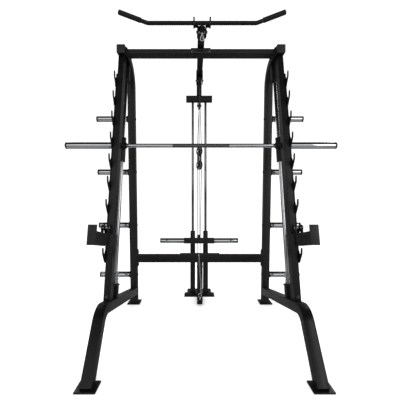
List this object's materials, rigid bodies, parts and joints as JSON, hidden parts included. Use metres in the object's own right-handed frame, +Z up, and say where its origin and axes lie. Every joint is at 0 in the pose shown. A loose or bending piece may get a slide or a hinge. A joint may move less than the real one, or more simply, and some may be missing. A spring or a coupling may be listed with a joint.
{
  "type": "smith machine",
  "caption": "Smith machine: leaning bar rack with a guided bar, hooked rack plates, swinging safety arms, plate storage horns and a plate-loaded cable tower with lat bar and low pulley.",
  "frame": {"origin": "on the floor, on the centre plane, half way between the front edge of the front feet and the back of the tower's foot", "axes": "+X to the right seen from the front, +Y towards the rear tower, +Z up"},
  "size_m": [2.01, 1.54, 2.1766],
  "materials": {
    "black_coat": "satin",
    "black_plastic": "matte",
    "pulley_plastic": "satin",
    "chrome": "polished",
    "plated_steel": "satin",
    "cable": "gloss",
    "bronze": "satin",
    "black_rubber": "matte"
  },
  "bodies": {
    "frame": {"base_tubes": "black_coat", "rear_uprights": "black_coat", "front_posts": "black_coat", "rack_plates": "black_coat", "latch_pegs": "plated_steel", "frame_bolts": "black_coat", "frame_caps": "black_plastic", "top_crossbeam": "black_coat", "top_name_plate": "black_plastic", "lower_crossbeam": "black_coat", "chain_plate": "black_coat", "hanging_chain": "plated_steel", "guide_rods": "chrome", "rod_brackets": "black_coat", "rod_bumper_springs": "chrome", "storage_horns": "chrome", "lat_boom": "black_coat", "pulley_axles": "plated_steel", "tower_head": "black_coat", "tower_rods": "chrome", "tower_stand": "black_coat", "tower_stops": "black_rubber", "lat_cable": "cable", "lat_cable_end": "plated_steel", "low_pulley_post": "black_coat", "row_cable": "cable", "carriage_cable": "cable", "upper_strand_front": "cable", "upper_strand_rear": "cable", "lower_strand_front": "cable", "lower_strand_rear": "cable"},
    "smith_carriage": {"smith_carriages": "black_coat", "carriage_caps": "black_plastic", "linear_bearings": "plated_steel", "bar_bushes": "bronze"},
    "smith_bar": {"bar_shaft": "chrome", "bar_sleeves": "chrome", "bar_collars": "black_coat", "bar_end_caps": "black_plastic", "latch_hooks": "plated_steel"},
    "arm_right": {"safety_arm_right": "black_coat", "safety_pin_right": "plated_steel"},
    "arm_left": {"safety_arm_left": "black_coat", "safety_pin_left": "plated_steel"},
    "weight_carriage": {"weight_carriage": "black_coat", "weight_carriage_bushes": "pulley_plastic", "weight_horns": "chrome"},
    "floating_block": {"block_frame": "black_coat", "block_axles": "plated_steel", "block_cables": "cable"},
    "upper_block_pulley": {"block_upper_pulley": "pulley_plastic"},
    "lower_block_pulley": {"block_lower_pulley": "pulley_plastic"},
    "front_boom_pulley": {"front_boom_pulley": "pulley_plastic"},
    "rear_boom_pulley": {"rear_boom_pulley": "pulley_plastic"},
    "head_pulley": {"head_pulley": "pulley_plastic"},
    "low_front_pulley": {"low_front_pulley": "pulley_plastic"},
    "low_rear_pulley": {"low_rear_pulley": "pulley_plastic"},
    "row_end": {"row_cable_end": "plated_steel"},
    "lat_bar": {"lat_bar": "black_coat", "lat_grips": "black_rubber"}
  },
  "joints": [
    {"name": "smith_slide", "type": "slide", "parent": "frame", "child": "smith_carriage", "axis": [0, 0.2062, 0.9785], "range_m": [-0.7875, 0.4725]},
    {"name": "bar_turn", "type": "hinge", "parent": "smith_carriage", "child": "smith_bar", "pos_m": [0, -0.06736, 1.34913], "axis": [1, 0, 0], "range_deg": [0, 90]},
    {"name": "arm_right_swing", "type": "hinge", "parent": "frame", "child": "arm_right", "pos_m": [0.627, -0.32456, 0.76879], "axis": [-1, 0, 0], "range_deg": [0, 25]},
    {"name": "arm_left_swing", "type": "hinge", "parent": "frame", "child": "arm_left", "pos_m": [-0.627, -0.32456, 0.76879], "axis": [-1, 0, 0], "range_deg": [0, 25]},
    {"name": "weight_lift", "type": "slide", "parent": "frame", "child": "weight_carriage", "axis": [0, 0, 1], "range_m": [0, 0.9], "deforming": ["carriage_cable"]},
    {"name": "block_travel", "type": "slide", "parent": "frame", "child": "floating_block", "axis": [0, 0, 1], "range_m": [-0.45, 0], "deforming": ["upper_strand_front", "upper_strand_rear", "lower_strand_front", "lower_strand_rear"]},
    {"name": "row_pull", "type": "slide", "parent": "frame", "child": "row_end", "axis": [0, -0.8, 0.6], "range_m": [0, 0.9]},
    {"name": "head_pulley_turn", "type": "hinge", "parent": "frame", "child": "head_pulley", "pos_m": [0, 0.663, 1.877], "axis": [1, 0, 0], "continuous": true},
    {"name": "upper_block_pulley_turn", "type": "hinge", "parent": "floating_block", "child": "upper_block_pulley", "pos_m": [0, 0.59136, 1.408], "axis": [0.866, 0.5, 0], "continuous": true},
    {"name": "lower_block_pulley_turn", "type": "hinge", "parent": "floating_block", "child": "lower_block_pulley", "pos_m": [0, 0.59136, 1.273], "axis": [0.866, 0.5, 0], "continuous": true},
    {"name": "low_rear_pulley_turn", "type": "hinge", "parent": "frame", "child": "low_rear_pulley", "pos_m": [0, 0.508, 0.062], "axis": [1, 0, 0], "continuous": true},
    {"name": "low_front_pulley_turn", "type": "hinge", "parent": "frame", "child": "low_front_pulley", "pos_m": [0, 0.33, 0.052], "axis": [1, 0, 0], "continuous": true},
    {"name": "front_boom_pulley_turn", "type": "hinge", "parent": "frame", "child": "front_boom_pulley", "pos_m": [0, -0.285, 2.066], "axis": [1, 0, 0], "continuous": true},
    {"name": "rear_boom_pulley_turn", "type": "hinge", "parent": "frame", "child": "rear_boom_pulley", "pos_m": [0, 0.51172, 2.066], "axis": [1, 0, 0], "continuous": true},
    {"name": "lat_bar_lift", "type": "slide", "parent": "frame", "child": "lat_bar", "axis": [0, 0, 1], "range_m": [0, 0.12]}
  ],
  "couplings": [
    {"joint": "block_travel", "follows": "weight_lift", "ratio": -0.5},
    {"joint": "row_pull", "follows": "weight_lift", "ratio": 1},
    {"joint": "head_pulley_turn", "follows": "weight_lift", "rad_per_m": 27.027},
    {"joint": "upper_block_pulley_turn", "follows": "weight_lift", "rad_per_m": -12.5},
    {"joint": "lower_block_pulley_turn", "follows": "weight_lift", "rad_per_m": 12.5},
    {"joint": "low_rear_pulley_turn", "follows": "weight_lift", "rad_per_m": -26.316},
    {"joint": "low_front_pulley_turn", "follows": "weight_lift", "rad_per_m": -35.714},
    {"joint": "rear_boom_pulley_turn", "follows": "front_boom_pulley_turn", "ratio": 1}
  ]
}
